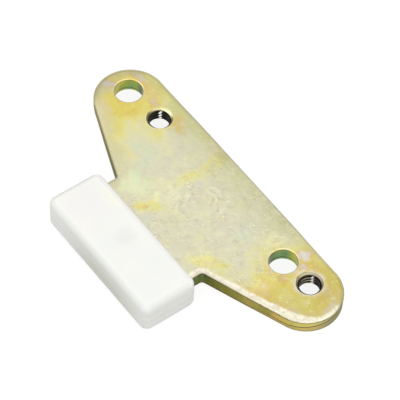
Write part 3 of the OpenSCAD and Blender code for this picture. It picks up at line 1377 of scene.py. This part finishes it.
# %% [markdown]
# A bar with flat walls would look machined. Thick nylon shrinks as it cools, so
# the long walls are a touch hollow in the middle, a soft sink lies over the
# plug that fills the hole in the tongue, and a hair-fine line runs round the
# wall where the two halves of the tool met. Each is a small inset or drop,
# worked out for every point before its vertex is made.

# %% Shrinkage of the moulding
WALL_HOLLOW = 0.10
SINK_DEPTH, SINK_R = 0.12, 1.7
BLOCK_SPACING = 0.8


def wall_inset(station, profile):
    """How far the cooled wall lies inside its tool, at one point of the section."""
    level = (profile.height - block_mid.z) / block_half.z
    along = (station.at.x - block_mid.x) / block_half.x
    hollow = WALL_HOLLOW * abs(station.out.y) * (1 - along**2) * (1 - level**2)
    near_seam = abs(profile.height - block_mid.z) < 0.75 * PARTING_W
    return PARTING_H * (1 - near_seam) * (1 - level**2) + hollow


def face_drop(x, y):
    """How deep the broad faces have sunk at a place."""
    away = (Vector((x, y)) - anchor).length
    return SINK_DEPTH * math.exp(-((away / SINK_R) ** 2) / 2)


def build_block():
    bm = bmesh.new()
    stations = block_outline()
    rings = []
    for point in block_section():
        profiles = [Profile(point.inset + wall_inset(s, point), point.height) for s in stations]
        rings.append(add_ring(bm, stations, profiles))
    loft(bm, rings)

    def upper(x, y):
        return block_high.z - face_drop(x, y)

    def lower(x, y):
        return block_low.z + face_drop(x, y)

    fill_face(bm, [rings[0]], upper, True, BLOCK_SPACING, seed=21)
    fill_face(bm, [rings[-1]], lower, False, BLOCK_SPACING, seed=22)
    print(f"block: {len(bm.faces)} faces before its pocket is cut")
    return bm


block = make_piece(build_block(), "nylon_block", "shoe_block", [nylon_finish])

# %% [markdown]
# The nylon flowed round the tongue and through its hole, so the pocket is cut
# with the plate itself, and the two pieces meet face to face as they do in the
# real moulding. The modifier's result is kept as a plain mesh.

# %% Cut the pocket
def cut_pocket(block, plate):
    cut = block.modifiers.new("tongue_pocket", "BOOLEAN")
    cut.operation = "DIFFERENCE"
    cut.solver = "EXACT"
    cut.object = plate
    bpy.context.view_layer.update()
    depsgraph = bpy.context.evaluated_depsgraph_get()
    mesh = bpy.data.meshes.new_from_object(block.evaluated_get(depsgraph))
    block.modifiers.clear()
    block.data = mesh
    mesh.name = "nylon_block"
    mesh.materials.clear()
    mesh.materials.append(nylon_finish)
    for polygon in mesh.polygons:
        polygon.material_index = 0
    return len(mesh.polygons)


print(f"block: {cut_pocket(block, plate)} faces with its pocket")

# %% [markdown]
# ## Camera
# The photograph was taken from the front right and above, from far away. These
# angles came from matching the outline and the hole rims, in a frame whose
# origin is on the back edge.

# %% Camera
PHOTO_PX = 400
AZIMUTH, ELEVATION, ROLL = (math.radians(v) for v in (52.489, 53.258, 1.765))
FOCAL_PX = 3064.448
DISTANCE = 729.891
ACROSS, UPWARD = -10.897, -3.769
SENSOR = 36.0
NEAREST_SEEN, FARTHEST_SEEN = 0.01, 10  # in metres


def photo_camera():
    back = Vector((
        math.sin(AZIMUTH) * math.cos(ELEVATION),
        -math.cos(AZIMUTH) * math.cos(ELEVATION),
        math.sin(ELEVATION),
    ))
    level = Vector((math.cos(AZIMUTH), math.sin(AZIMUTH), 0))
    rise = back.cross(level)
    right = math.cos(ROLL) * level + math.sin(ROLL) * rise
    up = -math.sin(ROLL) * level + math.cos(ROLL) * rise
    place = back * DISTANCE + right * ACROSS + up * UPWARD + Vector((0, end_r, 0))
    data = bpy.data.cameras.new("photo_camera")
    data.sensor_width = SENSOR
    data.lens = FOCAL_PX * SENSOR / PHOTO_PX
    data.clip_start, data.clip_end = NEAREST_SEEN, FARTHEST_SEEN
    camera = add_object("photo_camera", data)
    turn = Matrix((right, up, back)).transposed().to_4x4()
    camera.matrix_world = Matrix.Translation(place * MM) @ turn
    bpy.context.scene.camera = camera
    return camera


camera = photo_camera()
print(f"camera {camera.location.length:.2f} m away, lens {camera.data.lens:.0f} mm")

# %% [markdown]
# ## Floor and light
# The shoe lies on its block and on its back edge, so the floor leans against
# both. The floor is pale, and the rays that reach the eye find a little light
# added to it, so that it looks white while it still shows the shadow and
# throws no more light on the shoe.

# %% Floor
FLOOR_SIZE = 4.0
FLOOR_GAP = 0.01  # in millimetres, so that block and floor don't share a face
FLOOR_PAPER = (0.26, 0.26, 0.25, 1.0)
FLOOR_GLOW = (0.82, 0.82, 0.83, 1.0)


def seen_directly(tree):
    """1 for rays from the eye, directly, by reflection or through glass."""
    path = add_node(tree, "ShaderNodeLightPath", {}).outputs
    kinds = ("Is Camera Ray", "Is Glossy Ray", "Is Transmission Ray")
    direct, reflected, through = (Value(tree, path[kind]) for kind in kinds)
    return direct.either(reflected).either(through)


def floor_material():
    material = bpy.data.materials.new("pale_floor")
    material.use_nodes = True
    tree = material.node_tree
    tree.nodes.clear()

    def shader(kind, inputs):
        return Value(tree, add_node(tree, kind, inputs).outputs[0])

    paper = shader("ShaderNodeBsdfDiffuse", {"Color": FLOOR_PAPER})
    glow = {"Color": FLOOR_GLOW, "Strength": seen_directly(tree)}
    both = shader("ShaderNodeAddShader", {0: paper, 1: shader("ShaderNodeEmission", glow)})
    add_node(tree, "ShaderNodeOutputMaterial", {"Surface": both})
    return material


def make_floor():
    back = Vector((0, end_r - LOWER_EDGE, 0))
    front = Vector((0, block_high.y - BLOCK_EDGE_R, block_low.z - FLOOR_GAP))
    lean = math.atan2(back.z - front.z, back.y - front.y)
    mesh = bpy.data.meshes.new("floor")
    bm = bmesh.new()
    bmesh.ops.create_grid(bm, x_segments=1, y_segments=1, size=FLOOR_SIZE / 2)
    bm.to_mesh(mesh)
    bm.free()
    mesh.materials.append(floor_material())
    floor = add_object("floor", mesh)
    floor.location = front * MM
    floor.rotation_euler.x = lean
    return math.degrees(lean)


print(f"the floor leans by {make_floor():.2f} degrees against the shoe")

# %% [markdown]
# The world is white all round, as in a studio with pale walls. It may look
# brighter than it shines: the rays that reach the eye find one level, and the
# light on the shoe comes from a lower one, so that pale nylon doesn't clip.

# %% World
WORLD_LIGHT = 0.53
WORLD_SEEN = 0.82


def light_world():
    world = bpy.data.worlds.new("studio")
    bpy.context.scene.world = world
    world.use_nodes = True
    sky = world.node_tree.nodes["Background"].inputs
    sky["Color"].default_value = (1, 1, 1, 1)
    more = seen_directly(world.node_tree) * (WORLD_SEEN - WORLD_LIGHT)
    feed(sky["Strength"], more + WORLD_LIGHT)


light_world()
print(f"the world shines with {WORLD_LIGHT} and is seen as {WORLD_SEEN}")

# %% [markdown]
# The plated face is a blurred mirror, and from the sides it mirrors whatever
# stands low beyond it. A small, strong lamp there would turn it white, so the
# three lamps are large and dim. One hangs overhead, one stands at the right and
# makes the end of the block and the right wall clear, and one stands in front.

# %% Lamps
def softbox(name, place, size, brightness):
    """An area lamp that faces the shoe. Brightness is that of its own face."""
    data = bpy.data.lights.new(name, "AREA")
    data.shape = "RECTANGLE"
    data.size, data.size_y = size
    data.energy = brightness * math.pi * size[0] * size[1]
    lamp = add_object(name, data)
    lamp.location = place
    lamp.rotation_mode = "QUATERNION"
    lamp.rotation_quaternion = (-Vector(place)).to_track_quat("-Z", "Y")
    print(f"{name}: {size[0]:.2f} x {size[1]:.2f} m, {data.energy:.2f} W")


softbox("overhead_softbox", (0.0, 0.0, 0.60), (1.5, 1.5), 0.37)
softbox("right_softbox", (0.50, -0.06, 0.28), (1.1, 0.6), 0.84)
softbox("front_softbox", (-0.16, -0.48, 0.26), (1.0, 0.54), 0.66)

bpy.context.scene.view_settings.view_transform = "Standard"
